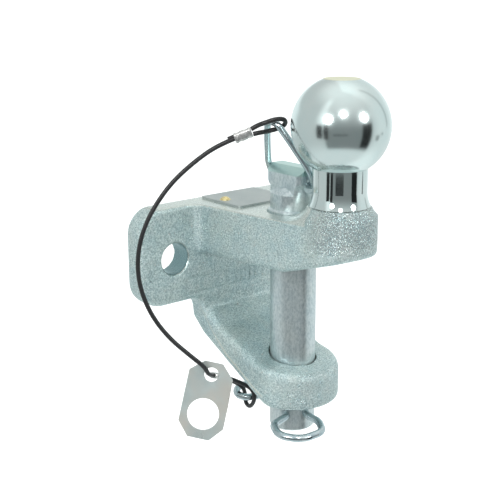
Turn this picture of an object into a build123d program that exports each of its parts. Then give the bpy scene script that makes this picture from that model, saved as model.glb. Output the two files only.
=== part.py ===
from build123d import *
from math import cos, sin, radians, tan
import os

# Ball-and-pin towing hitch: a two-bolt flange, an arm with a 50 mm ball, and a lower jaw
# with a removable coupling pin between them. Units are millimetres.
# Origin: midway between the two bolt holes, on the rear mounting face.
# +Y points to the vehicle, -Y to the trailer, +Z is up.

# flange
FLANGE_WIDTH = 135.0
FLANGE_TOP = 28.7
FLANGE_BOTTOM = -25.8
FLANGE_THICK = 14.0
FLANGE_CORNER_R = 14.0
BOLT_SPACING = 90.0
BOLT_HOLE_D = 17.5
BOLT_CHAMFER = 0.8

# raised bars cast on the flange, in two shallow panels
PANEL_TOP = -12.4
PANEL_HEIGHT = 10.6
PANEL_DEPTH = 0.6
BAR_WIDTHS = [5.0, 3.2, 5.0, 2.2, 4.2, 5.0]

# ball and its neck
BALL_D = 50.0
BALL_Y = -93.5
BALL_Z = 77.0
BALL_FLAT_Z = BALL_Z + 23.4
NECK_R = 13.9
NECK_BASE_R = 16.0
NECK_BASE_Z = 37.2
SPIGOT_R = 11.0
SPIGOT_DEPTH = 14.0

# upper arm
ARM_ROOT_HALF = 29.5
ARM_PIN_HALF = 24.6
ARM_BOTTOM = 1.0
ARM_EDGE_R = 3.0
NOSE_R = 19.7
NOSE_BOTTOM = 12.8
ROOT_R = 7.0
FLARE_R = 16.0

# lower jaw and the web that carries it
JAW_R = 25.5
JAW_TOP = -56.5
JAW_BOTTOM = -76.0
JAW_EDGE_R = 4.0
WEB_ROOT_R = 8.0

# coupling pin
PIN_Y = -59.5
PIN_R = 12.4
PIN_BORE_R = 12.8
PIN_BOTTOM = -93.5
PIN_CHAMFER = 1.0
COLLAR_R = 13.5
COLLAR_HEIGHT = 3.0
SPOT_FACE_R = 14.2
SPOT_FACE_DEPTH = 1.5
SEAT_GAP = 0.3
HEAD_HALF_X = 8.5
HEAD_HALF_Y = 13.3
HEAD_BASE = 40.0
HEAD_TOP = 53.0
HEAD_FLAT_HALF = 3.6
HEAD_SHOULDER_Z = 49.2

# pull bail on the pin head
BAIL_WIRE_D = 3.5
BAIL_HINGE_Z = 43.7
BAIL_HALF = 15.8
BAIL_HEIGHT = 36.5
BAIL_LEAN = 25.0
BAIL_POCKET_D = 8.7
BAIL_POCKET_DEPTH = 1.6
BAIL_HOLE_DEPTH = 7.0
BAIL_FIT = 0.08
BAIL_RADII = [2.0, 14.0, 16.0, 5.0]

# spring clip through the pin
CLIP_WIRE_D = 4.0
CLIP_Z = -83.0
CLIP_TURN = 33.0
CLIP_HOLE_SPACING = 11.0
CLIP_HOLE_D = 4.16
CLIP_RADII = [4.0, 5.0, 9.0, 11.0, 7.0, 9.0, 7.0, 6.0, 12.0, 5.0, 4.5, 9.0, 5.0]

# identification plate and rivets
ID_PLATE_HALF_X = 19.3
ID_PLATE_LENGTH = 34.0
ID_PLATE_THICK = 1.0
ID_PLATE_FRONT = -37.7
RIVET_SPOTS = [(-14.5, -19.5), (14.5, -33.0)]
RIVET_HEAD_R = 3.0
RIVET_SINK = 1.6
RIVET_SHANK_R = 1.5

# lanyard, its ferrules, and the anchor tag
CABLE_D = 2.4
CABLE_ROUTE = [
    (-31.9, -49.6, 68.9),
    (-38.8, -43.4, 65.2),
    (-47.4, -34.9, 56.4),
    (-56.0, -28.0, 46.4),
    (-63.0, -23.4, 35.4),
    (-68.6, -20.4, 24.1),
    (-72.2, -19.0, 11.7),
    (-73.4, -19.2, -1.0),
    (-71.8, -20.8, -13.6),
    (-67.4, -24.0, -26.5),
    (-60.6, -29.0, -38.1),
    (-51.4, -35.2, -48.6),
    (-44.6, -38.6, -55.6),
    (-41.0, -36.4, -61.5),
    (-35.2, -33.6, -64.2),
]
UPPER_LOOP = [
    (-25.7, -55.1, 73.7),
    (-23.4, -57.2, 75.6),
    (-21.7, -61.3, 77.3),
    (-17.2, -64.6, 79.1),
    (-12.7, -66.1, 78.8),
    (-10.1, -64.0, 75.6),
    (-12.7, -60.7, 73.2),
    (-17.4, -57.9, 72.1),
    (-22.3, -58.1, 72.0),
    (-24.9, -55.8, 71.2),
]
LOWER_LOOP = [
    (-28.3, -31.8, -67.2),
    (-24.9, -30.7, -68.6),
    (-12.9, -35.4, -75.5),
    (-10.3, -38.5, -79.0),
    (-10.0, -39.0, -84.5),
    (-9.9, -34.5, -90.4),
    (-9.3, -29.7, -88.8),
    (-7.8, -27.9, -84.2),
    (-11.3, -29.4, -77.8),
    (-26.5, -27.3, -68.6),
    (-29.5, -29.3, -67.2),
]
UPPER_FERRULE = ((-25.6, -55.2, 72.3), (-31.9, -49.6, 68.9))
LOWER_FERRULE = ((-35.2, -33.6, -64.2), (-29.0, -30.6, -67.1))
FERRULE_WIDE = 5.4
FERRULE_NARROW = 3.4
TAG_THICK = 1.5
TAG_YAW = 40.0
TAG_TILT = 15.0
TAG_ROLL = 12.5
TAG_HOLE_D = 17.5
TAG_EYE_D = 8.0
TAG_REACH = 22.0
TAG_EYE = (-38.8, -36.5, -61.9)
TAG_OUTLINE = [
    (-5.0, 6.8),
    (5.0, 6.8),
    (12.0, -0.5),
    (12.5, -15.0),
    (12.5, -28.0),
    (6.0, -35.5),
    (-6.0, -35.5),
    (-12.5, -28.0),
    (-12.5, 0.5),
]


def side_solid(points, half_width):
    """Extrude a closed (y, z) profile both ways along X."""
    face = make_face(Polyline(*points, close=True))
    return extrude(Plane.YZ * face, half_width, both=True)


def upright(x, y, radius, low, high):
    """A vertical cylinder between two heights."""
    return Pos(x, y, (low + high) / 2) * Cylinder(radius, high - low)


def level_rod(x, y, z, radius, length):
    """A cylinder along Y, centred on a point."""
    return Pos(x, y, z) * Rot(90, 0, 0) * Cylinder(radius, length)


def turned(points, x=0.0, y=0.0):
    """Revolve a closed (r, z) profile about a vertical axis."""
    face = make_face(Polyline(*points, close=True))
    return Pos(x, y, 0) * revolve(Plane.XZ * face, Axis.Z)


def flange():
    height = FLANGE_TOP - FLANGE_BOTTOM
    middle = (FLANGE_TOP + FLANGE_BOTTOM) / 2
    plate = Pos(0, -FLANGE_THICK / 2, middle) * Box(FLANGE_WIDTH, FLANGE_THICK, height)
    plate = fillet(plate.edges().filter_by(Axis.Y), FLANGE_CORNER_R)
    plate = fillet(plate.faces().sort_by(Axis.Y)[0].edges(), 2.5)
    return chamfer(plate.faces().sort_by(Axis.Y)[-1].edges(), 1.0)


def arm_plan():
    """Plan outline of the upper arm, with flared roots and a round nose."""
    root = -FLANGE_THICK
    wide = ARM_ROOT_HALF + ROOT_R
    corner = ROOT_R * (1 - cos(radians(45)))
    left = [(-wide, root), (-ARM_ROOT_HALF, root - ROOT_R)]
    outline = [
        Line((-wide, root + 4), left[0]),
        ThreePointArc(left[0], (-ARM_ROOT_HALF - corner, root - corner), left[1]),
        Polyline(left[1], (-ARM_PIN_HALF, PIN_Y), (-NOSE_R, BALL_Y)),
        ThreePointArc((-NOSE_R, BALL_Y), (0, BALL_Y - NOSE_R), (NOSE_R, BALL_Y)),
        Polyline((NOSE_R, BALL_Y), (ARM_PIN_HALF, PIN_Y), (ARM_ROOT_HALF, root - ROOT_R)),
        ThreePointArc((ARM_ROOT_HALF, root - ROOT_R), (ARM_ROOT_HALF + corner, root - corner), (wide, root)),
        Polyline((wide, root), (wide, root + 4), (-wide, root + 4)),
    ]
    return make_face(Curve() + outline)


def arm():
    """Upper arm: flat top, and an underside that rises from the pin to the nose."""
    plan = extrude(arm_plan(), 60, both=True)
    profile = [
        (-4, FLANGE_TOP),
        (BALL_Y - 30, FLANGE_TOP),
        (BALL_Y - 30, NOSE_BOTTOM - 3.5),
        (BALL_Y - NOSE_R, NOSE_BOTTOM),
        (PIN_Y - 14, ARM_BOTTOM),
        (-4, ARM_BOTTOM),
    ]
    return plan & side_solid(profile, 60)


def nose():
    """Round end of the arm, standing higher than the milled top around the neck."""
    side_top = FLANGE_TOP - 4
    high = NECK_BASE_Z
    corner = (NOSE_R - 1.0, high - 5.7)
    with BuildSketch(Plane.XZ) as sketch:
        with BuildLine():
            Polyline((0, side_top - 6), (0, high), (NECK_BASE_R, high))
            ThreePointArc((NECK_BASE_R, high), corner, (NOSE_R, side_top))
            Polyline((NOSE_R, side_top), (NOSE_R, side_top - 6), (0, side_top - 6))
        make_face()
    return Pos(0, BALL_Y, 0) * revolve(sketch.sketch, Axis.Z)


def neck_flare():
    """Turned fillet that runs out from the neck onto the top of the arm."""
    outer = NECK_R + FLARE_R
    mid = FLARE_R * cos(radians(45))
    centre_z = FLANGE_TOP + FLARE_R
    with BuildSketch(Plane.XZ) as sketch:
        with BuildLine():
            Polyline((outer, FLANGE_TOP), (outer, FLANGE_TOP - 4), (0, FLANGE_TOP - 4), (0, centre_z), (NECK_R, centre_z))
            ThreePointArc((NECK_R, centre_z), (outer - mid, centre_z - mid), (outer, FLANGE_TOP))
        make_face()
    flare = Pos(0, BALL_Y, 0) * revolve(sketch.sketch, Axis.Z)
    below_seat = Pos(0, BALL_Y, FLANGE_TOP - 10) * Box(80, 80, 2 * (NECK_BASE_Z - FLANGE_TOP + 10))
    plan = extrude(arm_plan(), 60, both=True)
    return flare & below_seat & plan


def lower_jaw():
    """Web from the flange and the eye that takes the lower end of the pin."""
    outline = [
        Line((-JAW_R, 0), (-JAW_R, PIN_Y)),
        ThreePointArc((-JAW_R, PIN_Y), (0, PIN_Y - JAW_R), (JAW_R, PIN_Y)),
        Polyline((JAW_R, PIN_Y), (JAW_R, 0), (-JAW_R, 0)),
    ]
    plan = extrude(make_face(Curve() + outline), 120, both=True)
    profile = [
        (0, FLANGE_BOTTOM + 6),
        (-FLANGE_THICK, FLANGE_BOTTOM + 6),
        (-FLANGE_THICK, -32.0),
        (-26.0, -40.2),
        (-56.0, JAW_TOP + 4.2),
        (-100.0, JAW_TOP - 2.2),
        (-100.0, JAW_BOTTOM),
        (-63.0, JAW_BOTTOM),
        (-10.0, -48.6),
        (0, -40.0),
    ]
    body = plan & side_solid(profile, 60)
    below = [e for e in body.edges() if e.center().Z < FLANGE_BOTTOM - 4]
    return fillet([e for e in below if abs(e.center().X) > 12], JAW_EDGE_R)


def web_roots():
    """Fillets between the sides of the web and the underside of the flange."""
    corner = WEB_ROOT_R * (1 - cos(radians(45)))
    wide = JAW_R + WEB_ROOT_R
    low = FLANGE_BOTTOM - WEB_ROOT_R
    outline = [
        Polyline((-JAW_R, low), (-JAW_R + 6, low), (JAW_R - 6, low), (JAW_R, low)),
        ThreePointArc((JAW_R, low), (JAW_R + corner, FLANGE_BOTTOM - corner), (wide, FLANGE_BOTTOM)),
        Polyline((wide, FLANGE_BOTTOM), (wide, FLANGE_BOTTOM + 4), (-wide, FLANGE_BOTTOM + 4), (-wide, FLANGE_BOTTOM)),
        ThreePointArc((-wide, FLANGE_BOTTOM), (-JAW_R - corner, FLANGE_BOTTOM - corner), (-JAW_R, low)),
    ]
    root = extrude(Plane.XZ * make_face(Curve() + outline), FLANGE_THICK - 3)
    return Pos(0, -1, 0) * root


def panel(left, right):
    """A shallow panel on the front of the flange."""
    middle = PANEL_TOP - PANEL_HEIGHT / 2
    size = (right - left, 2 * PANEL_DEPTH, PANEL_HEIGHT)
    return Pos((left + right) / 2, -FLANGE_THICK, middle) * Box(*size)


def panel_bars(left, right, widths):
    """A row of plain raised bars inside a panel."""
    middle = PANEL_TOP - PANEL_HEIGHT / 2
    gap = (right - left - sum(widths)) / (len(widths) + 1)
    bars = []
    start = left + gap
    for width in widths:
        bar = Box(width, 2 * PANEL_DEPTH, PANEL_HEIGHT - 4.0)
        bars.append(Pos(start + width / 2, -FLANGE_THICK + PANEL_DEPTH, middle) * bar)
        start = start + width + gap
    return bars


def drilled_flange():
    """Flange with its two bolt holes."""
    plate = flange()
    for side in (-1, 1):
        x = side * BOLT_SPACING / 2
        plate = plate - level_rod(x, 0, 0, BOLT_HOLE_D / 2, 4 * FLANGE_THICK)
        rim = Cone(BOLT_HOLE_D / 2 + BOLT_CHAMFER, BOLT_HOLE_D / 2, BOLT_CHAMFER)
        plate = plate - Pos(x, -FLANGE_THICK + BOLT_CHAMFER / 2, 0) * Rot(-90, 0, 0) * rim
    return plate


def round_underside(body):
    """Round the lower edges of the upper arm, from the flange to the nose."""
    edges = []
    for edge in body.edges():
        spot = edge.center()
        low = ARM_BOTTOM - 0.5 < spot.Z < NOSE_BOTTOM + 2 and spot.Y < -FLANGE_THICK - 0.2
        if low and (abs(spot.X) > 10 or spot.Y < BALL_Y - 5):
            edges.append(edge)
    return fillet(edges, ARM_EDGE_R)


def hitch_body():
    """The forging: flange, upper arm with its nose, lower jaw, and the holes in them."""
    body = drilled_flange() + lower_jaw() + web_roots() + arm() + nose() + neck_flare()
    body = round_underside(body)
    body = body - panel(-38, -9) - panel(-5, 24)
    for bar in panel_bars(-38, -9, BAR_WIDTHS[:5]) + panel_bars(-5, 24, BAR_WIDTHS[1:]):
        body = body + bar
    for x, y in RIVET_SPOTS:
        body = body - upright(x, y, RIVET_SHANK_R, FLANGE_TOP - 8, FLANGE_TOP + 1)
    body = body - upright(0, PIN_Y, PIN_BORE_R, -120, 60)
    body = body - upright(0, PIN_Y, SPOT_FACE_R, FLANGE_TOP - SPOT_FACE_DEPTH, 60)
    return body - upright(0, BALL_Y, SPIGOT_R, NECK_BASE_Z - SPIGOT_DEPTH, NECK_BASE_Z + 1)


def ball_stud():
    """Ball with its top flat, waisted neck, turned base and the spigot pressed into the arm."""
    ball = Pos(0, BALL_Y, BALL_Z) * Sphere(BALL_D / 2)
    ball = ball - Pos(0, BALL_Y, BALL_FLAT_Z + 10) * Box(60, 60, 20)
    centre_z = FLANGE_TOP + FLARE_R
    reach = centre_z - NECK_BASE_Z
    seat_r = NECK_R + FLARE_R - (FLARE_R ** 2 - reach ** 2) ** 0.5
    mid_z = (centre_z + NECK_BASE_Z) / 2
    mid_r = NECK_R + FLARE_R - (FLARE_R ** 2 - (centre_z - mid_z) ** 2) ** 0.5
    with BuildSketch(Plane.XZ) as sketch:
        with BuildLine():
            Polyline((0, BALL_Z), (NECK_R, BALL_Z - 16), (NECK_R, centre_z))
            ThreePointArc((NECK_R, centre_z), (mid_r, mid_z), (seat_r, NECK_BASE_Z))
            Polyline((seat_r, NECK_BASE_Z), (SPIGOT_R, NECK_BASE_Z), (SPIGOT_R, NECK_BASE_Z - SPIGOT_DEPTH),
                     (0, NECK_BASE_Z - SPIGOT_DEPTH), (0, BALL_Z))
        make_face()
    return ball + Pos(0, BALL_Y, 0) * revolve(sketch.sketch, Axis.Z)


def clip_point(ahead, across, height):
    """A point given along the clip, across it and as a height, measured from the pin axis."""
    turn = radians(CLIP_TURN)
    x = -ahead * sin(turn) - across * cos(turn)
    y = PIN_Y - ahead * cos(turn) + across * sin(turn)
    return (x, y, height)


def coupling_pin():
    """Pin with a collar, a bevelled head with bail pockets, and two cross holes for the clip."""
    seat = FLANGE_TOP - SPOT_FACE_DEPTH + SEAT_GAP
    shank = turned([
        (0, PIN_BOTTOM),
        (PIN_R - PIN_CHAMFER, PIN_BOTTOM),
        (PIN_R, PIN_BOTTOM + PIN_CHAMFER),
        (PIN_R, seat),
        (COLLAR_R, seat),
        (COLLAR_R, seat + COLLAR_HEIGHT - 1.0),
        (PIN_R + 0.1, seat + COLLAR_HEIGHT),
        (PIN_R + 0.1, HEAD_BASE - 1.5),
        (PIN_R - 3.0, HEAD_BASE + 2.0),
        (0, HEAD_BASE + 2.0),
    ], y=PIN_Y)
    block = Pos(0, PIN_Y, (HEAD_BASE + HEAD_TOP) / 2 - 2)
    block = block * Box(2 * HEAD_HALF_X, 2 * HEAD_HALF_Y, HEAD_TOP - HEAD_BASE + 4)
    block = fillet(block.edges().filter_by(Axis.Z), 3.5)
    bevels = Plane.XZ * make_face(Polyline(
        (-HEAD_HALF_X, 30), (HEAD_HALF_X, 30), (HEAD_HALF_X, HEAD_SHOULDER_Z), (HEAD_FLAT_HALF, HEAD_TOP),
        (-HEAD_FLAT_HALF, HEAD_TOP), (-HEAD_HALF_X, HEAD_SHOULDER_Z), close=True))
    taper = turned([(0, 30), (PIN_R + 0.1, 30), (PIN_R + 0.1, 42.0), (16.4, 48.2), (16.4, 60), (0, 60)], y=PIN_Y)
    pin = shank + (block & extrude(bevels, 90, both=True) & taper)
    for side in (-1, 1):
        end = PIN_Y + side * HEAD_HALF_Y
        pin = pin - level_rod(0, end, BAIL_HINGE_Z, BAIL_POCKET_D / 2, 2 * BAIL_POCKET_DEPTH)
        pin = pin - level_rod(0, end, BAIL_HINGE_Z, BAIL_WIRE_D / 2 + BAIL_FIT, 2 * BAIL_HOLE_DEPTH)
        middle = clip_point(0, side * CLIP_HOLE_SPACING / 2, CLIP_Z)
        direction = Vector(clip_point(1, 0, CLIP_Z)) - Vector(clip_point(0, 0, CLIP_Z))
        hole = Plane(origin=middle, z_dir=direction) * Cylinder(CLIP_HOLE_D / 2, 60)
        pin = pin - hole
    return pin


def tube(points, radii, diameter, label):
    """A round tube along straight runs joined by tangent arcs; prints its length and radii."""
    path = FilletPolyline(*points, radius=radii)
    start = Plane(origin=path @ 0, z_dir=path % 0)
    solid = sweep(start * Circle(diameter / 2), path=path)
    section = 3.14159265 * diameter ** 2 / 4
    shown = " ".join(f"{radius:.1f}" for radius in radii)
    print(f"{label}: length {path.length:.1f}, volume/section*length "
          f"{solid.volume / (section * path.length):.4f}, radii {shown}")
    return solid


def even_radii(points):
    """Arc radii for a cord: 0.45 of the shorter run over the tangent of half the turn."""
    spots = [Vector(*point) for point in points]
    radii = []
    for before, here, after in zip(spots, spots[1:], spots[2:]):
        inward = here - before
        outward = after - here
        half_turn = radians(inward.get_angle(outward)) / 2
        radii.append(0.45 * min(inward.length, outward.length) / tan(half_turn))
    return radii


def cord(points, diameter, label):
    return tube(points, even_radii(points), diameter, label)


def pull_bail():
    """Wire handle whose ends sit in the head, leaning to -X."""
    lean = radians(BAIL_LEAN)
    inner = HEAD_HALF_Y - BAIL_HOLE_DEPTH + 1.0
    shape = [(-inner, 0), (-BAIL_HALF, 0), (-BAIL_HALF + 0.2, 10.5), (-8.8, 26.0), (-3.5, BAIL_HEIGHT)]
    shape = shape + [(-across, up) for across, up in reversed(shape)]
    points = [(-up * sin(lean), PIN_Y + across, BAIL_HINGE_Z + up * cos(lean)) for across, up in shape]
    return tube(points, BAIL_RADII + BAIL_RADII[::-1], BAIL_WIRE_D, "pull_bail")


def spring_clip():
    """One wire: a bow in front, two legs through the pin, a loop behind, and ends that meet in a hole."""
    leg = CLIP_HOLE_SPACING / 2
    shape = [
        (9.5, leg, 0),
        (15.0, leg, 0),
        (21.5, 14.0, -1.4),
        (33.0, 12.5, -2.6),
        (38.0, 0.8, -3.0),
        (31.5, -11.5, -2.4),
        (21.5, -11.3, -1.2),
        (14.5, -leg, 0),
        (-22.0, -leg, 0),
        (-27.0, 4.0, 1.2),
        (-26.0, 25.0, 2.6),
        (-21.0, 31.0, 0.8),
        (-16.0, 25.0, -1.6),
        (-19.0, leg, 0),
        (7.0, leg, 0),
    ]
    points = [clip_point(ahead, across, CLIP_Z + rise) for ahead, across, rise in shape]
    return tube(points, CLIP_RADII, CLIP_WIRE_D, "spring_clip")


def id_plate():
    """Thin blank plate riveted to the top of the arm at two opposite corners."""
    y = ID_PLATE_FRONT + ID_PLATE_LENGTH / 2
    z = FLANGE_TOP + ID_PLATE_THICK / 2
    plate = Pos(0, y, z) * Box(2 * ID_PLATE_HALF_X, ID_PLATE_LENGTH, ID_PLATE_THICK)
    plate = fillet(plate.edges().filter_by(Axis.Z), 1.5)
    for x, y in RIVET_SPOTS:
        plate = plate - upright(x, y, RIVET_SHANK_R, 0, 60)
    return plate


def rivet(x, y):
    """Domed rivet with its shank in the arm."""
    top = FLANGE_TOP + ID_PLATE_THICK
    dome = Pos(x, y, top - RIVET_SINK) * Sphere((RIVET_HEAD_R ** 2 + RIVET_SINK ** 2) ** 0.5)
    keep = upright(x, y, RIVET_HEAD_R, top, top + 5)
    return (dome & keep) + upright(x, y, RIVET_SHANK_R, top - 7, top + 0.5)


def sleeve(start, end, wide):
    """Crimped oval ferrule between two points, wide across the given direction."""
    axis = Vector(*end) - Vector(*start)
    level = Vector(*wide) - axis * (axis.dot(Vector(*wide)) / axis.length ** 2)
    plane = Plane(origin=start, x_dir=level, z_dir=axis)
    outline = plane * SlotOverall(FERRULE_WIDE, FERRULE_NARROW)
    body = extrude(outline, axis.length, dir=axis)
    return fillet(body.edges().filter_by(GeomType.CIRCLE), 0.4)


def anchor_tag():
    """Plate with a bolt hole, hanging by a small eye; its corners are cut off."""
    attitude = Plane(origin=TAG_EYE) * Rot(0, 0, -TAG_YAW) * Rot(90 - TAG_TILT, 0, 0) * Rot(0, 0, -TAG_ROLL)
    outline = Polyline(*TAG_OUTLINE, close=True)
    plate = extrude(make_face(outline), TAG_THICK / 2, both=True)
    plate = fillet(plate.edges().filter_by(Axis.Z), 1.0)
    plate = plate - Cylinder(TAG_EYE_D / 2, 4 * TAG_THICK)
    plate = plate - Pos(0, -TAG_REACH, 0) * Cylinder(TAG_HOLE_D / 2, 4 * TAG_THICK)
    return attitude * plate


def build(shapes):
    """Write one file per node."""
    os.makedirs("parts", exist_ok=True)
    for name, shape in shapes.items():
        export_step(shape, f"parts/{name}.step")


build({
    "hitch_body": hitch_body(),
    "ball_stud": ball_stud(),
    "id_plate": id_plate(),
    "id_plate_rivets": Compound(children=[rivet(x, y) for x, y in RIVET_SPOTS]),
    "coupling_pin": coupling_pin(),
    "pull_bail": pull_bail(),
    "spring_clip": spring_clip(),
    "lanyard_cable": cord(CABLE_ROUTE, CABLE_D, "lanyard_cable"),
    "lanyard_upper_loop": cord(UPPER_LOOP, CABLE_D, "lanyard_upper_loop"),
    "lanyard_lower_loop": cord(LOWER_LOOP, CABLE_D, "lanyard_lower_loop"),
    "upper_ferrule": sleeve(*UPPER_FERRULE, (0, 0, 1)),
    "lower_ferrule": sleeve(*LOWER_FERRULE, (0.43, -0.9, 0)),
    "anchor_tag": anchor_tag(),
})
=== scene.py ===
import bpy
import math
import numpy as np
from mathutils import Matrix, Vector, noise


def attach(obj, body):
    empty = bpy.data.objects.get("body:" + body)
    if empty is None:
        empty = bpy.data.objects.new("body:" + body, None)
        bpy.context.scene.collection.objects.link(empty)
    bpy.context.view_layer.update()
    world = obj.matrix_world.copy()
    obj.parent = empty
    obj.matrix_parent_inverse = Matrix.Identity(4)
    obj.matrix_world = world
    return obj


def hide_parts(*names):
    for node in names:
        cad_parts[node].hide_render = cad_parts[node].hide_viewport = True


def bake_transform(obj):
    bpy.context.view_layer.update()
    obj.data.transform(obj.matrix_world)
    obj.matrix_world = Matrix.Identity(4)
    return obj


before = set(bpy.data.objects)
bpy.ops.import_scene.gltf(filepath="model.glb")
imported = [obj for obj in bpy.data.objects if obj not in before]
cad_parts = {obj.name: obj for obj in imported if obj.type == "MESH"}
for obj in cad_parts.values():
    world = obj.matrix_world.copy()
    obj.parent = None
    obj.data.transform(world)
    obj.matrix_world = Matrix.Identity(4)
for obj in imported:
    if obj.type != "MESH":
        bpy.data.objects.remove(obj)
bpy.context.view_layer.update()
scene = bpy.context.scene
scene.view_settings.view_transform = "Standard"
MM = 0.001

# places and sizes of the hitch, in millimetres, as in the CAD model
BALL_AXIS_Y = -93.5
BALL_CENTRE_Z = 77.0
BALL_FLAT_Z = 100.4
PIN_AXIS_Y = -59.5
HEAD_SHOULDER_Z = 49.2
ARM_TOP = 28.7
BOLT_X = 45.0
BOLT_R = 8.75
PIN_BORE_R = 12.8
SPOT_FACE_R = 14.2
CABLE_D = 2.4
FERRULE_WIDE = 5.4
FERRULE_NARROW = 3.4
UPPER_FERRULE_ACROSS = (0, 0, 1)
LOWER_FERRULE_ACROSS = (0.43, -0.9, 0)
UPPER_FERRULE = ((-25.6, -55.2, 72.3), (-31.9, -49.6, 68.9))
LOWER_FERRULE = ((-35.2, -33.6, -64.2), (-29.0, -30.6, -67.1))
CABLE_ROUTE = [
    (-31.9, -49.6, 68.9),
    (-38.8, -43.4, 65.2),
    (-47.4, -34.9, 56.4),
    (-56.0, -28.0, 46.4),
    (-63.0, -23.4, 35.4),
    (-68.6, -20.4, 24.1),
    (-72.2, -19.0, 11.7),
    (-73.4, -19.2, -1.0),
    (-71.8, -20.8, -13.6),
    (-67.4, -24.0, -26.5),
    (-60.6, -29.0, -38.1),
    (-51.4, -35.2, -48.6),
    (-44.6, -38.6, -55.6),
    (-41.0, -36.4, -61.5),
    (-35.2, -33.6, -64.2),
]
UPPER_LOOP = [
    (-25.7, -55.1, 73.7),
    (-23.4, -57.2, 75.6),
    (-21.7, -61.3, 77.3),
    (-17.2, -64.6, 79.1),
    (-12.7, -66.1, 78.8),
    (-10.1, -64.0, 75.6),
    (-12.7, -60.7, 73.2),
    (-17.4, -57.9, 72.1),
    (-22.3, -58.1, 72.0),
    (-24.9, -55.8, 71.2),
]
LOWER_LOOP = [
    (-28.3, -31.8, -67.2),
    (-24.9, -30.7, -68.6),
    (-12.9, -35.4, -75.5),
    (-10.3, -38.5, -79.0),
    (-10.0, -39.0, -84.5),
    (-9.9, -34.5, -90.4),
    (-9.3, -29.7, -88.8),
    (-7.8, -27.9, -84.2),
    (-11.3, -29.4, -77.8),
    (-26.5, -27.3, -68.6),
    (-29.5, -29.3, -67.2),
]

# what the CAD model doesn't hold, in millimetres: the height below which the neck is brighter, the
# cut end of the cable, where the cable starts to bend with the bail, the part of the flange with the
# panels as ranges of x, y and z, and the seam of the forging dies as (y, z) points
NECK_TOP_Z = 55.0
CABLE_STUB = [(-30.4, -50.4, 70.6), (-32.4, -48.7, 69.6), (-34.3, -47.1, 68.5)]
PANEL_RANGES = ((-40, 26), (-15, -12.5), (-24.5, -11))
PARTING_LINE = [
    (-10.4, -32.6),
    (-14.9, -38.0),
    (-22.1, -45.5),
    (-32.8, -54.3),
    (-45.8, -61.0),
    (-54.4, -65.9),
    (-62.5, -69.8),
]

# the forged skin, in millimetres
VOXEL = 0.65
SOFTEN_ROUNDS = 24
PIT_DEPTH = 0.16

# camera, in millimetres and degrees
CAMERA_PLACE = (-357.15, -448.62, 150.93)
CAMERA_DOWN = 15.29
CAMERA_TURN = -40.07
CAMERA_ROLL = 0.18
LENS = 73.47
SENSOR = 36.0

# floor and lamps, in metres; a lamp is a name, a direction from the ball, a size and a power
FLOOR_HALF = 30.0
FLOOR_Z = -0.32
LAMP_DISTANCE = 1.2
LAMPS = (
    ("lamp_left", (-0.906, -0.233, 0.353), 0.34, 4.0),
    ("lamp_middle", (-0.532, -0.633, 0.562), 0.22, 2.6),
    ("lamp_right", (0.175, -0.908, 0.382), 0.32, 3.6),
)

# the tent, in degrees; a gap is its left, right, lower and upper edge and its brightness
OPENING_TURN = -145
DARK_GAPS = (
    (39, 50, -22, 9, 0.03),
    (53, 67, -20, 7, 0.03),
    (-63, -39, -38, 9, 0.02),
    (-5, 28, -12.9, -11.0, 0.0),
    (-100, -93, -12.9, -11.0, 0.0),
    (-88, -78, -22, -14, 0.3),
)


# ---------- camera, floor, light ----------

def add_camera():
    """Looks down at the hitch from its front left."""
    data = bpy.data.cameras.new("camera")
    data.lens = LENS
    data.sensor_width = SENSOR
    data.clip_start = 0.01
    camera = bpy.data.objects.new("camera", data)
    scene.collection.objects.link(camera)
    camera.location = Vector(CAMERA_PLACE) * MM
    angles = (90 - CAMERA_DOWN, CAMERA_ROLL, CAMERA_TURN)
    camera.rotation_euler = [math.radians(angle) for angle in angles]
    scene.camera = camera


def add_floor():
    """A wide pale floor well below the hitch, which its mounting holds up."""
    mesh = bpy.data.meshes.new("floor")
    signs = ((-1, -1), (1, -1), (1, 1), (-1, 1))
    corners = [(x * FLOOR_HALF, y * FLOOR_HALF, FLOOR_Z) for x, y in signs]
    mesh.from_pydata(corners, [], [(0, 1, 2, 3)])
    floor = bpy.data.objects.new("floor", mesh)
    scene.collection.objects.link(floor)
    paint = Paint("floor")
    speckle = paint.noise(40, detail=3)
    tone = paint.mix(paint.ramp(speckle, 0.3, 0.7), (0.955, 0.955, 0.955), (0.975, 0.975, 0.975))
    paint.shader.inputs["Emission Color"].default_value = (1.0, 1.0, 1.0, 1.0)
    paint.shader.inputs["Emission Strength"].default_value = 0.45
    paint.finish(floor, tone, metallic=0.0, roughness=0.9)
    floor.visible_glossy = False


def add_lamp(name, place, target, size, power):
    """A round lamp at a place, turned to face a target."""
    data = bpy.data.lights.new(name, "AREA")
    data.shape = "DISK"
    data.size = size
    data.energy = power
    lamp = bpy.data.objects.new(name, data)
    scene.collection.objects.link(lamp)
    lamp.location = place
    aim = Vector(target) - Vector(place)
    lamp.rotation_euler = aim.to_track_quat("-Z", "Y").to_euler()


def add_lights():
    """Three round lamps high in front of the hitch."""
    ball = Vector((0, BALL_AXIS_Y, BALL_CENTRE_Z)) * MM
    for name, direction, size, power in LAMPS:
        add_lamp(name, ball + LAMP_DISTANCE * Vector(direction), ball, size, power)


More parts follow.
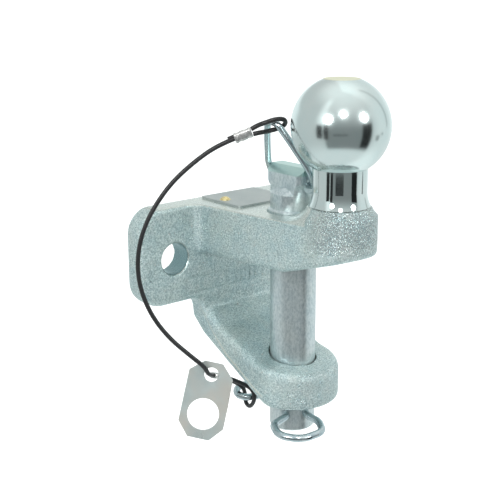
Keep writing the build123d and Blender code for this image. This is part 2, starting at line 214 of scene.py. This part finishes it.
def add_world():
    """A white tent all round, with a grey opening towards the front left and dark gaps beside it."""
    world = bpy.data.worlds.new("tent")
    scene.world = world
    world.use_nodes = True
    tree = world.node_tree
    tree.nodes.clear()
    make = tree.nodes.new
    link = tree.links.new

    def calc(kind, *values):
        node = make("ShaderNodeMath")
        node.operation = kind
        for socket, value in zip(node.inputs, values):
            if isinstance(value, (int, float)):
                socket.default_value = value
            else:
                link(value, socket)
        return node.outputs[0]

    def step(value, low, high):
        node = make("ShaderNodeMapRange")
        node.interpolation_type = "SMOOTHSTEP"
        link(value, node.inputs[0])
        node.inputs[1].default_value = low
        node.inputs[2].default_value = high
        return node.outputs[0]

    def band(value, low, high, soft):
        rise = step(value, low - soft, low + soft)
        fall = calc("SUBTRACT", 1.0, step(value, high - soft, high + soft))
        return calc("MULTIPLY", rise, fall)

    def patch(left, right, low, high, soft=2.0):
        return calc("MULTIPLY", band(azimuth, left, right, soft), band(height, low, high, soft))

    def over(level, value, mask):
        """The level, replaced by a value where the mask is 1."""
        kept = calc("MULTIPLY", level, calc("SUBTRACT", 1.0, mask))
        return calc("ADD", kept, calc("MULTIPLY", mask, value))

    split = make("ShaderNodeSeparateXYZ")
    link(make("ShaderNodeTexCoord").outputs["Generated"], split.inputs[0])
    # azimuth and height are in degrees; azimuth 0 is the middle of the opening
    turn = math.radians(OPENING_TURN)
    along = calc("ADD", calc("MULTIPLY", split.outputs[0], math.sin(turn)),
                 calc("MULTIPLY", split.outputs[1], math.cos(turn)))
    across = calc("SUBTRACT", calc("MULTIPLY", split.outputs[0], math.cos(turn)),
                  calc("MULTIPLY", split.outputs[1], math.sin(turn)))
    azimuth = calc("DEGREES", calc("ARCTAN2", across, along))
    height = calc("DEGREES", calc("ARCSINE", split.outputs[2]))
    # the tent is brighter on its right, overhead, low down and in a halo beside the opening
    right_side = calc("SUBTRACT", 1.0, step(azimuth, -90, -50))
    tent = calc("ADD", 0.66, calc("MULTIPLY", 0.22, right_side))
    tent = calc("ADD", tent, calc("MULTIPLY", 0.40, step(height, 35, 80)))
    tent = calc("ADD", tent, calc("MULTIPLY", 0.20, step(height, -25, -55)))
    tent = calc("ADD", tent, calc("MULTIPLY", 0.42, patch(44, 66, 2, 62, 9.0)))
    behind = calc("MULTIPLY", step(calc("ABSOLUTE", azimuth), 120, 150), band(height, -12, 14, 5.0))
    tent = over(tent, 1.04, behind)
    grey = calc("ADD", 0.27, calc("MULTIPLY", 0.72, step(height, -8, 74)))
    level = over(tent, grey, patch(-64, 47, -43, 76, 4.5))
    level = over(level, 0.55, patch(-117, -111, -5, 60, 3.0))
    for left, right, low, high, value in DARK_GAPS:
        level = over(level, value, patch(left, right, low, high, 1.0))
    tint = make("ShaderNodeMix")
    tint.data_type = "RGBA"
    link(step(height, 10, 60), tint.inputs[0])
    tint.inputs[6].default_value = (0.93, 1.0, 1.0, 1)
    tint.inputs[7].default_value = (0.97, 1.0, 0.99, 1)
    back = make("ShaderNodeBackground")
    link(tint.outputs[2], back.inputs["Color"])
    link(level, back.inputs["Strength"])
    link(back.outputs[0], make("ShaderNodeOutputWorld").inputs["Surface"])


# ---------- materials ----------

class Paint:
    """A principled material built from a few procedural patterns in object space."""

    def __init__(self, name):
        self.material = bpy.data.materials.new(name)
        self.material.use_nodes = True
        self.tree = self.material.node_tree
        self.shader = self.tree.nodes["Principled BSDF"]
        self.place = self.tree.nodes.new("ShaderNodeTexCoord").outputs["Object"]

    def link(self, source, target):
        self.tree.links.new(source, target)

    def stretched(self, scale):
        node = self.tree.nodes.new("ShaderNodeMapping")
        self.link(self.place, node.inputs["Vector"])
        node.inputs["Scale"].default_value = scale
        return node.outputs[0]

    def noise(self, scale, detail=4.0, rough=0.55, place=None):
        node = self.tree.nodes.new("ShaderNodeTexNoise")
        self.link(place or self.place, node.inputs["Vector"])
        node.inputs["Scale"].default_value = scale
        node.inputs["Detail"].default_value = detail
        node.inputs["Roughness"].default_value = rough
        return node.outputs["Fac"]

    def ramp(self, value, low, high, bottom=0.0, top=1.0):
        node = self.tree.nodes.new("ShaderNodeMapRange")
        self.link(value, node.inputs[0])
        for socket, number in zip(node.inputs[1:5], (low, high, bottom, top)):
            socket.default_value = number
        return node.outputs[0]

    def math(self, kind, first, second):
        node = self.tree.nodes.new("ShaderNodeMath")
        node.operation = kind
        for socket, value in zip(node.inputs, (first, second)):
            if isinstance(value, (int, float)):
                socket.default_value = value
            else:
                self.link(value, socket)
        return node.outputs[0]

    def mix(self, factor, first, second):
        node = self.tree.nodes.new("ShaderNodeMix")
        node.data_type = "RGBA"
        if isinstance(factor, (int, float)):
            node.inputs[0].default_value = factor
        else:
            self.link(factor, node.inputs[0])
        for socket, value in ((node.inputs[6], first), (node.inputs[7], second)):
            if isinstance(value, tuple):
                socket.default_value = (*value, 1.0)
            else:
                self.link(value, socket)
        return node.outputs[2]

    def attribute(self, name):
        node = self.tree.nodes.new("ShaderNodeAttribute")
        node.attribute_name = name
        return node.outputs["Fac"]

    def height(self):
        node = self.tree.nodes.new("ShaderNodeSeparateXYZ")
        self.link(self.place, node.inputs[0])
        return node.outputs[2]

    def edges(self, low, high):
        node = self.tree.nodes.new("ShaderNodeNewGeometry")
        return self.ramp(node.outputs["Pointiness"], low, high)

    def bump(self, value, strength, distance):
        node = self.tree.nodes.new("ShaderNodeBump")
        node.inputs["Strength"].default_value = strength
        node.inputs["Distance"].default_value = distance
        self.link(value, node.inputs["Height"])
        self.link(node.outputs[0], self.shader.inputs["Normal"])

    def finish(self, target, colour, metallic=1.0, roughness=0.4):
        """Set the shader's sockets and put the material on an object."""
        for name, value in (("Base Color", colour), ("Metallic", metallic), ("Roughness", roughness)):
            socket = self.shader.inputs[name]
            if isinstance(value, tuple):
                socket.default_value = (*value, 1.0)
            elif isinstance(value, (int, float)):
                socket.default_value = value
            else:
                self.link(value, socket)
        target.data.materials.clear()
        target.data.materials.append(self.material)


def paint_forging(target):
    """Zinc plate over a grainy forged skin, with smoother milled parts, painted glints and painted
    shade on the grain, a darker speckled nose and jaw front in painted shade, a painted warm highlight
    on convex edges, painted shade in the bolt holes and a painted highlight on the die seam.
    """
    paint = Paint("zinc_forging")
    skin = paint.attribute("skin")
    coarse = paint.attribute("coarse")
    grain = paint.noise(1250, detail=4, rough=0.7)
    fine = paint.noise(3600, detail=2, rough=0.6)
    cloud = paint.noise(45, detail=3)
    patch = paint.noise(160, detail=4)
    specks = paint.noise(520, detail=3, rough=0.7)
    base = paint.mix(paint.ramp(cloud, 0.35, 0.65), (0.46, 0.62, 0.64), (0.58, 0.70, 0.68))
    base = paint.mix(paint.ramp(patch, 0.45, 0.75, 0.0, 0.35), base, (0.70, 0.73, 0.68))
    # painted glints and painted shade: where the grain stands high in the bump it is painted near
    # white, and where it sinks it is painted dark
    base = paint.mix(paint.ramp(grain, 0.50, 0.62, 0.0, 0.8), base, (0.90, 0.98, 0.97))
    base = paint.mix(paint.ramp(grain, 0.49, 0.38, 0.0, 0.75), base, (0.27, 0.37, 0.39))
    base = paint.mix(paint.ramp(specks, 0.64, 0.74, 0.0, 0.5), base, (0.60, 0.46, 0.38))
    # painted shade: dark speckle where the hammered noise is low, full on the blunt nose and weaker on
    # the jaw front
    hammered = paint.noise(1900, detail=3, rough=0.6)
    painted_hollow_shade = paint.math("MULTIPLY", coarse, paint.ramp(hammered, 0.58, 0.44, 0.0, 0.70))
    base = paint.mix(painted_hollow_shade, base, (0.24, 0.26, 0.26))
    # painted highlight: a warm tint on the most convex edges, for the warm highlight along the jaw's
    # top edge
    base = paint.mix(paint.math("MULTIPLY", paint.edges(0.53, 0.60), 0.45), base, (0.68, 0.60, 0.46))
    base = paint.mix(paint.ramp(skin, 0.5, 0.0, 0.0, 0.6), base, (0.68, 0.70, 0.64))
    # painted shade: the walls of the bolt holes painted darker and bluer
    base = paint.mix(paint.attribute("bore_shade"), base, (0.26, 0.40, 0.42))
    # painted highlight: the raised die seam painted pale
    base = paint.mix(paint.math("MULTIPLY", paint.attribute("seam"), 0.8), base, (0.90, 0.90, 0.80))
    patchy = paint.ramp(patch, 0.3, 0.7, -0.03, 0.05)
    rough = paint.math("ADD", paint.ramp(skin, 0.0, 1.0, 0.26, 0.30), patchy)
    rough = paint.math("SUBTRACT", rough, paint.math("MULTIPLY", coarse, 0.07))
    deeper = paint.math("MULTIPLY", coarse, 0.1)
    relief = paint.math("ADD", paint.ramp(skin, 0.0, 1.0, 0.05, 0.9), deeper)
    pits = paint.math("MULTIPLY", paint.math("ADD", grain, paint.math("MULTIPLY", fine, 0.4)), relief)
    paint.bump(pits, 0.8, 0.0007)
    paint.finish(target, base, metallic=0.85, roughness=rough)


def paint_ball(target):
    """Polished plate, with a greenish tinge, and a pale yellowish turned flat on top."""
    paint = Paint("polished_ball")
    haze = paint.noise(70, detail=4)
    fine = paint.noise(2600, detail=2)
    flat = paint.ramp(paint.height(), (BALL_FLAT_Z - 0.25) * MM, (BALL_FLAT_Z - 0.1) * MM)
    tone = paint.mix(paint.ramp(haze, 0.35, 0.7), (0.66, 0.765, 0.76), (0.72, 0.79, 0.78))
    stains = paint.noise(190, detail=4, rough=0.7)
    tone = paint.mix(paint.ramp(stains, 0.66, 0.78, 0.0, 0.35), tone, (0.66, 0.60, 0.54))
    tone = paint.mix(flat, tone, (0.80, 0.79, 0.60))
    neck = paint.ramp(paint.height(), (NECK_TOP_Z + 1) * MM, (NECK_TOP_Z - 1) * MM)
    smoother = paint.math("MULTIPLY", neck, 0.11)
    rough = paint.math("SUBTRACT", paint.ramp(haze, 0.3, 0.7, 0.14, 0.19), smoother)
    rough = paint.math("ADD", rough, paint.math("MULTIPLY", flat, 0.3))
    paint.bump(fine, 0.04, 0.0001)
    paint.finish(target, tone, metallic=1.0, roughness=rough)


def paint_pin(target):
    """Drawn bar with a bright satin plate, mottled along its length, with a painted reflection that
    makes the top of its head greener.
    """
    paint = Paint("zinc_pin")
    mottle = paint.noise(900, detail=4, rough=0.7, place=paint.stretched((1.0, 1.0, 0.55)))
    cloud = paint.noise(60, detail=3)
    turning = paint.noise(1500, detail=2, place=paint.stretched((0.05, 0.05, 1.0)))
    head = paint.ramp(paint.height(), (HEAD_SHOULDER_Z - 0.4) * MM, (HEAD_SHOULDER_Z + 0.4) * MM)
    tone = paint.mix(paint.ramp(cloud, 0.35, 0.65), (0.52, 0.62, 0.65), (0.62, 0.69, 0.69))
    tone = paint.mix(paint.ramp(mottle, 0.45, 0.62, 0.0, 0.6), tone, (0.80, 0.86, 0.87))
    tone = paint.mix(paint.ramp(mottle, 0.48, 0.36, 0.0, 0.4), tone, (0.40, 0.48, 0.50))
    # painted reflection: the head above its shoulder painted greener
    tone = paint.mix(paint.math("MULTIPLY", head, 0.8), tone, (0.50, 0.72, 0.68))
    rough = paint.ramp(mottle, 0.3, 0.7, 0.28, 0.38)
    paint.bump(paint.math("ADD", mottle, paint.math("MULTIPLY", turning, 0.3)), 0.12, 0.0002)
    paint.finish(target, tone, metallic=0.85, roughness=rough)


def paint_wire(target, name):
    """Bright plated spring wire with faint drawing marks."""
    paint = Paint(name)
    cloud = paint.noise(220, detail=3)
    marks = paint.noise(2400, detail=3)
    tone = paint.mix(paint.ramp(cloud, 0.3, 0.7), (0.46, 0.56, 0.60), (0.64, 0.71, 0.73))
    paint.bump(marks, 0.1, 0.0001)
    paint.finish(target, tone, metallic=1.0, roughness=paint.ramp(cloud, 0.3, 0.7, 0.16, 0.30))


def paint_tag(target):
    """Stamped sheet, satin plate with soft warm and cool patches."""
    paint = Paint("zinc_tag")
    cloud = paint.noise(55, detail=2)
    cool = paint.noise(120, detail=4)
    brushed = paint.noise(1300, detail=3, place=paint.stretched((1.0, 1.0, 0.2)))
    tone = paint.mix(paint.ramp(cloud, 0.35, 0.65), (0.48, 0.54, 0.53), (0.58, 0.57, 0.53))
    tone = paint.mix(paint.ramp(cool, 0.5, 0.7, 0.0, 0.4), tone, (0.50, 0.58, 0.58))
    paint.bump(brushed, 0.08, 0.0001)
    paint.finish(target, tone, metallic=0.6, roughness=paint.ramp(cool, 0.3, 0.7, 0.26, 0.38))


def paint_id_plate(target):
    """Dull grey sheet with a fine etched grain."""
    paint = Paint("grey_plate")
    grain = paint.noise(1500, detail=4, rough=0.7)
    cloud = paint.noise(90, detail=3)
    tone = paint.mix(paint.ramp(cloud, 0.3, 0.7), (0.38, 0.43, 0.43), (0.46, 0.50, 0.49))
    tone = paint.mix(paint.ramp(grain, 0.4, 0.65, 0.0, 0.35), tone, (0.60, 0.64, 0.63))
    paint.bump(grain, 0.12, 0.0001)
    paint.finish(target, tone, metallic=0.6, roughness=paint.ramp(grain, 0.3, 0.7, 0.42, 0.55))


def paint_brass(target):
    """Brass with cloudy lighter and darker places."""
    paint = Paint("brass_rivets")
    cloud = paint.noise(500, detail=3)
    tone = paint.mix(paint.ramp(cloud, 0.3, 0.7), (0.72, 0.58, 0.25), (0.88, 0.78, 0.46))
    paint.bump(paint.noise(2500), 0.1, 0.0002)
    paint.finish(target, tone, metallic=1.0, roughness=paint.ramp(cloud, 0.3, 0.7, 0.22, 0.34))


def paint_cable(target, name):
    """Black plastic cover, slightly shiny, with a faint ripple from the strands inside."""
    paint = Paint(name)
    ripple = paint.noise(900, detail=3)
    dust = paint.noise(2500, detail=2)
    tone = paint.mix(paint.ramp(dust, 0.5, 0.75, 0.0, 0.5), (0.012, 0.012, 0.013), (0.05, 0.05, 0.052))
    paint.bump(ripple, 0.2, 0.0002)
    paint.finish(target, tone, metallic=0.0, roughness=paint.ramp(ripple, 0.3, 0.7, 0.30, 0.42))


def paint_ferrule(target, name):
    """Bare bright metal with fine marks."""
    paint = Paint(name)
    brushed = paint.noise(1800, detail=3)
    cloud = paint.noise(300, detail=2)
    tone = paint.mix(paint.ramp(cloud, 0.3, 0.7), (0.62, 0.61, 0.60), (0.80, 0.79, 0.77))
    paint.bump(brushed, 0.2, 0.0002)
    paint.finish(target, tone, metallic=1.0, roughness=paint.ramp(brushed, 0.3, 0.7, 0.28, 0.42))


# ---------- the forging ----------

def vertex_rows(mesh, what="co"):
    """The place or the normal of every vertex, one to a row, in metres."""
    values = np.zeros(len(mesh.vertices) * 3)
    mesh.vertices.foreach_get(what, values)
    return values.reshape(-1, 3)


def move_vertices(mesh, places):
    mesh.vertices.foreach_set("co", places.ravel())
    mesh.update()


def axis_distances(place):
    """How far each point is from the axes of the pin, the ball and the nearer bolt hole."""
    x, y, z = place.T
    return np.hypot(x, y - PIN_AXIS_Y), np.hypot(x, y - BALL_AXIS_Y), np.hypot(np.abs(x) - BOLT_X, z)


def applied(target):
    """The object's mesh with its modifiers applied, as a new mesh."""
    graph = bpy.context.evaluated_depsgraph_get()
    return bpy.data.meshes.new_from_object(target.evaluated_get(graph))


def smoothstep(value, low, high):
    t = np.clip((value - low) / (high - low), 0, 1)
    return t * t * (3 - 2 * t)


def rough_skin(place):
    """1 where the forging keeps its rough skin, 0 where it is milled or turned (millimetres)."""
    x, y, z = place.T
    skin = np.ones(len(place))
    from_pin, from_ball, from_bolt = axis_distances(place)
    milled = smoothstep(y, BALL_AXIS_Y + 2.8, BALL_AXIS_Y + 4.2)
    skin *= 1 - smoothstep(z, ARM_TOP - 0.9, ARM_TOP - 0.3) * milled
    skin *= 1 - (from_ball < 16.0) * (z > 33)
    skin *= smoothstep(from_pin, 12.9, 13.4)
    skin *= smoothstep(from_bolt, 9.0, 9.8)
    skin *= smoothstep(-y, 0.5, 1.4)
    return skin


def softness(place):
    """How much each point is smoothed: less near machined edges than over forged ones."""
    z = place[:, 2]
    soft = np.ones(len(place))
    from_pin, from_ball, from_bolt = axis_distances(place)
    soft = np.minimum(soft, np.where(from_bolt < 11, 0.06, 1))
    soft = np.minimum(soft, np.where(from_pin < 15.2, 0.06, 1))
    soft = np.minimum(soft, 1 - 0.85 * smoothstep(z, ARM_TOP - 4, ARM_TOP - 1))
    soft = np.minimum(soft, np.where((from_ball < 31) & (z > ARM_TOP - 1), 0.05, 1))
    panel = np.ones(len(place), bool)
    for values, (low, high) in zip(place.T, PANEL_RANGES):
        panel &= (values > low) & (values < high)
    soft = np.minimum(soft, np.where(panel, 0.05, 1))
    return soft


def soften(mesh, rounds):
    """Average each vertex with its neighbours, as far as its own softness allows."""
    count = len(mesh.vertices)
    co = vertex_rows(mesh)
    edges = np.zeros(len(mesh.edges) * 2, int)
    mesh.edges.foreach_get("vertices", edges)
    first, second = edges.reshape(-1, 2).T
    degree = np.bincount(edges, minlength=count)[:, None]
    soft = softness(co / MM)[:, None] * 0.5
    for _ in range(rounds):
        total = np.zeros_like(co)
        for axis in range(3):
            total[:, axis] += np.bincount(first, weights=co[second, axis], minlength=count)
            total[:, axis] += np.bincount(second, weights=co[first, axis], minlength=count)
        co += soft * (total / degree - co)
    move_vertices(mesh, co)


def coarse_skin(place):
    """1 on the blunt end of the nose, where the painted shade speckle and the deeper bump are
    strongest, and 0.35 on the jaw's.
    """
    y, z = place[:, 1], place[:, 2]
    from_pin, from_ball, _ = axis_distances(place)
    blunt = smoothstep(BALL_AXIS_Y - y, -9.0, 8.0)
    nose = blunt * smoothstep(z, 10.0, 21.0) * (from_ball > 15.8)
    jaw = smoothstep(-y, 66.0, 80.0) * smoothstep(z, -78.0, -74.0) * (z < -56) * (from_pin > 20)
    return np.maximum(nose, 0.35 * jaw)


def hole_walls(place):
    """1 on the drilled walls of the two bolt holes, which the forging paints darker and bluer as
    painted shade.
    """
    y = place[:, 1]
    from_bolt = axis_distances(place)[2]
    return ((from_bolt < BOLT_R + 0.25) & (y < -0.8) & (y > -13.2)).astype(float)


def parting_line(place):
    """1 on the thin seam that the forging dies leave along each side of the lower jaw; the seam is
    raised a little and painted pale as a painted highlight.
    """
    x, y, z = place.T
    nearest = np.full(len(place), 99.0)
    for (y0, z0), (y1, z1) in zip(PARTING_LINE, PARTING_LINE[1:]):
        run = np.array((y1 - y0, z1 - z0))
        along = np.clip(((y - y0) * run[0] + (z - z0) * run[1]) / (run @ run), 0, 1)
        nearest = np.minimum(nearest, np.hypot(y - y0 - along * run[0], z - z0 - along * run[1]))
    ends = smoothstep(-y, 10.0, 34.0) * (1 - smoothstep(-y, 60.0, 64.0))
    return np.exp(-(nearest / 0.55) ** 2) * (np.abs(x) > 24.0) * (0.3 + 0.7 * ends) * (z < -32)


def pit(mesh, depth):
    """Press the rough skin in unevenly by up to a depth, and raise the seam by twice that depth."""
    co = vertex_rows(mesh)
    normals = vertex_rows(mesh, "normal")
    skin = rough_skin(co / MM)
    seam = parting_line(co / MM)
    layers = (
        ("skin", skin),
        ("coarse", coarse_skin(co / MM)),
        ("bore_shade", hole_walls(co / MM)),
        ("seam", seam),
    )
    wave = np.array([noise.fractal(Vector(p) * 130, 1.0, 2.2, 3) for p in co])
    co -= normals * (skin * depth * (0.5 + 0.5 * np.clip(wave, -1, 1)) - seam * 2 * depth)[:, None]
    for name, values in layers:
        layer = mesh.attributes.new(name, "FLOAT", "POINT")
        layer.data.foreach_set("value", values.astype(np.float32))
    move_vertices(mesh, co)


def true_holes(mesh):
    """Put the walls of the drilled holes back on their exact cylinders."""
    co = vertex_rows(mesh) / MM
    for side in (-1, 1):
        offset = co - (side * BOLT_X, 0, 0)
        away = np.hypot(offset[:, 0], offset[:, 2])
        wall = (np.abs(away - BOLT_R) < 0.85) & (co[:, 1] < -1.4) & (co[:, 1] > -12.8)
        co[wall, 0] = side * BOLT_X + offset[wall, 0] * BOLT_R / away[wall]
        co[wall, 2] = offset[wall, 2] * BOLT_R / away[wall]
    away = np.hypot(co[:, 0], co[:, 1] - PIN_AXIS_Y)
    walls = ((PIN_BORE_R, 1.8, 26.4), (PIN_BORE_R, -77.2, -57.6), (SPOT_FACE_R, 27.7, 28.3))
    for radius, low, high in walls:
        wall = (np.abs(away - radius) < 0.7) & (co[:, 2] > low) & (co[:, 2] < high)
        scale = radius / away[wall]
        co[wall, 0] *= scale
        co[wall, 1] = PIN_AXIS_Y + (co[wall, 1] - PIN_AXIS_Y) * scale
    move_vertices(mesh, co * MM)


def add_forging():
    """The hitch body with its edges rounded as a forging's are, and its skin roughened."""
    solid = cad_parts["hitch_body"]
    body = bpy.data.objects.new("forging", solid.data.copy())
    scene.collection.objects.link(body)
    remesh = body.modifiers.new("remesh", "REMESH")
    remesh.mode = "VOXEL"
    remesh.voxel_size = VOXEL * MM
    body.data = applied(body)
    body.modifiers.clear()
    soften(body.data, SOFTEN_ROUNDS)
    pit(body.data, PIT_DEPTH * MM)
    true_holes(body.data)
    body.data.shade_smooth()
    paint_forging(body)
    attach(body, "hitch")
    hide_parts("hitch_body")


# ---------- lanyard ----------

def spline(name, points):
    """A smooth NURBS curve through the space round its control points."""
    curve = bpy.data.curves.new(name, "CURVE")
    curve.dimensions = "3D"
    curve.resolution_u = 12
    line = curve.splines.new("NURBS")
    line.points.add(len(points) - 1)
    for point, place in zip(line.points, points):
        point.co = (*(Vector(place) * MM), 1.0)
    line.order_u = 3
    line.use_endpoint_u = True
    return curve


def centreline(name, points):
    """Points along the smooth route, in metres."""
    holder = bpy.data.objects.new(name, spline(name, points))
    mesh = bpy.data.meshes.new_from_object(holder)
    path = [tuple(v.co) for v in mesh.vertices]
    bpy.data.objects.remove(holder)
    return path


def tube(name, points):
    """A round tube along the smooth route, as a mesh."""
    curve = spline(name, points)
    curve.bevel_depth = CABLE_D / 2 * MM
    curve.bevel_resolution = 5
    curve.use_fill_caps = True
    holder = bpy.data.objects.new(name, curve)
    mesh = bpy.data.meshes.new_from_object(holder)
    bpy.data.objects.remove(holder)
    mesh.shade_smooth()
    piece = bpy.data.objects.new(name, mesh)
    scene.collection.objects.link(piece)
    paint_cable(piece, name + "_cover")
    return piece


def add_ferrule(node, ends, wide, body):
    """A crimped sleeve with two pressed bands, made ring by ring along its axis."""
    start, end = (Vector(point) * MM for point in ends)
    axis = end - start
    across = (Vector(wide) - axis * (axis.dot(Vector(wide)) / axis.length_squared)).normalized()
    upward = axis.normalized().cross(across)
    rings = 41
    corners = 28
    half_wide = (FERRULE_WIDE - FERRULE_NARROW) / 2 * MM
    radius = FERRULE_NARROW / 2 * MM
    points = []
    for ring in range(rings):
        along = ring / (rings - 1)
        pressed = max(0.0, math.sin(along * 4 * math.pi - math.pi / 2)) ** 0.6 * 0.16
        rounded = min(1.0, 4 * min(along, 1 - along) / 0.16)
        size = radius * (1 - pressed) * (0.88 + 0.12 * rounded)
        for corner in range(corners):
            angle = 2 * math.pi * corner / corners
            side = math.copysign(half_wide, math.cos(angle)) if abs(math.cos(angle)) > 1e-6 else 0.0
            offset = across * (side + size * math.cos(angle)) + upward * size * math.sin(angle)
            points.append(start + axis * along + offset)
    faces = [tuple(reversed(range(corners))), tuple(range((rings - 1) * corners, rings * corners))]
    for ring in range(rings - 1):
        for corner in range(corners):
            turn = (corner + 1) % corners
            low, high = ring * corners, (ring + 1) * corners
            faces.append((low + corner, low + turn, high + turn, high + corner))
    mesh = bpy.data.meshes.new(node + "_crimped")
    mesh.from_pydata([tuple(p) for p in points], [], faces)
    mesh.shade_smooth()
    piece = bpy.data.objects.new(node + "_crimped", mesh)
    scene.collection.objects.link(piece)
    paint_ferrule(piece, node + "_metal")
    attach(piece, body)
    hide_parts(node)
    return piece


def add_lanyard():
    upper = add_ferrule("upper_ferrule", UPPER_FERRULE, UPPER_FERRULE_ACROSS, "bail")
    lower = add_ferrule("lower_ferrule", LOWER_FERRULE, LOWER_FERRULE_ACROSS, "clip")
    stub = tube("cable_stub", CABLE_STUB)
    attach(stub, "bail")
    for name, points, node, pieces in (
        ("cable", CABLE_ROUTE, "lanyard_cable", (upper, lower, stub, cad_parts["anchor_tag"])),
        ("upper_loop", UPPER_LOOP, "lanyard_upper_loop", ()),
        ("lower_loop", LOWER_LOOP, "lanyard_lower_loop", ()),
    ):
        piece = tube(name, points)
        path = centreline(name + "_path", points)
        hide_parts(node)
        if name == "cable":
            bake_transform(piece)
        else:
            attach(piece, "bail" if name == "upper_loop" else "clip")


def finish_cad_nodes():
    """Give the pieces that keep their CAD shape their materials."""
    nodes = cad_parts
    paint_ball(nodes["ball_stud"])
    paint_pin(nodes["coupling_pin"])
    paint_wire(nodes["pull_bail"], "bail_wire")
    paint_wire(nodes["spring_clip"], "clip_wire")
    paint_tag(nodes["anchor_tag"])
    paint_id_plate(nodes["id_plate"])
    paint_brass(nodes["id_plate_rivets"])


add_camera()
add_world()
add_lights()
add_floor()
add_forging()
finish_cad_nodes()
add_lanyard()
